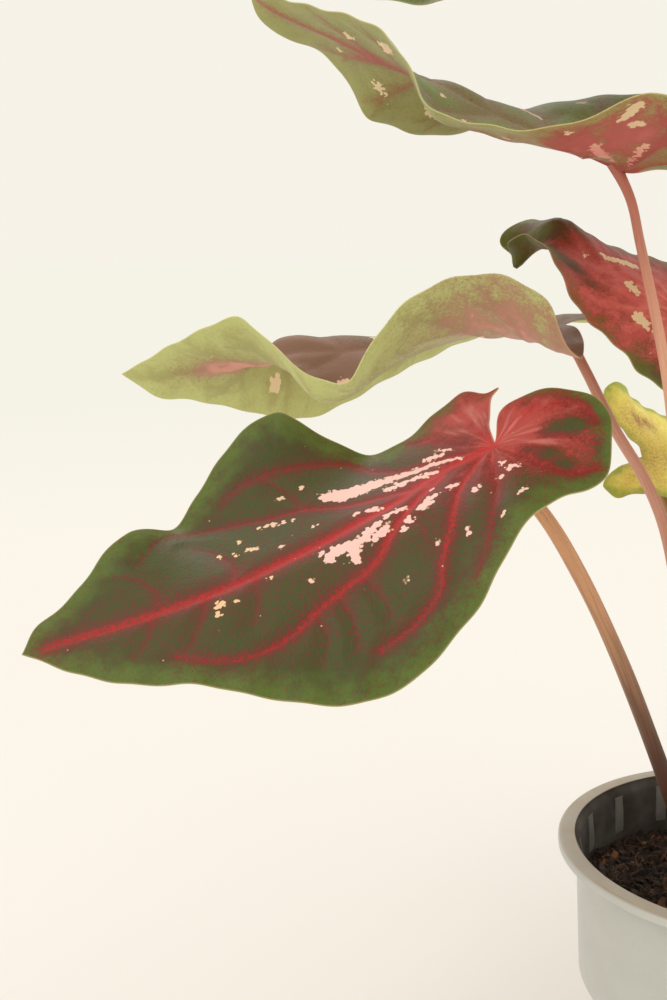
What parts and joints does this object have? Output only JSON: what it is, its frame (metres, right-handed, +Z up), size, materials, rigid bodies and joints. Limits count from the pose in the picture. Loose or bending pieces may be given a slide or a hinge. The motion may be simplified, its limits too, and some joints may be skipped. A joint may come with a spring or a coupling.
{
  "type": "potted caladium",
  "caption": "Caladium house plant with waved heart-shaped leaves on slender stalks, rising from a tuber in a soil-filled nursery pot.",
  "frame": {"origin": "middle of the pot's flat underside", "axes": "+Z up, -X towards the tip of the large front leaf, -Y towards the picture's camera"},
  "size_m": [0.3986, 0.233, 0.3601],
  "materials": {
    "pot": "satin grey plastic",
    "soil": "rough dark potting mix",
    "tuber": "rough brown skin",
    "stalk": "smooth tan to rose",
    "dark_leaf": "soft sheen, dark green with red veins",
    "pale_leaf": "soft sheen, green above and pale below",
    "red_leaf": "soft sheen, red with green blotches",
    "yellow_leaf": "soft sheen, yellow-green"
  },
  "bodies": {
    "root": {"pot": "pot", "soil": "soil", "tuber": "tuber", "front_blade": "dark_leaf", "front_stalk": "stalk", "top_blade": "pale_leaf", "top_stalk": "stalk", "left_blade": "pale_leaf", "left_stalk": "stalk", "red_blade": "red_leaf", "red_stalk": "stalk", "small_blade": "yellow_leaf", "small_stalk": "stalk", "upper_blade": "dark_leaf", "upper_stalk": "stalk", "right_front_blade": "dark_leaf", "right_front_stalk": "stalk", "right_back_blade": "dark_leaf", "right_back_stalk": "stalk"}
  },
  "joints": []
}
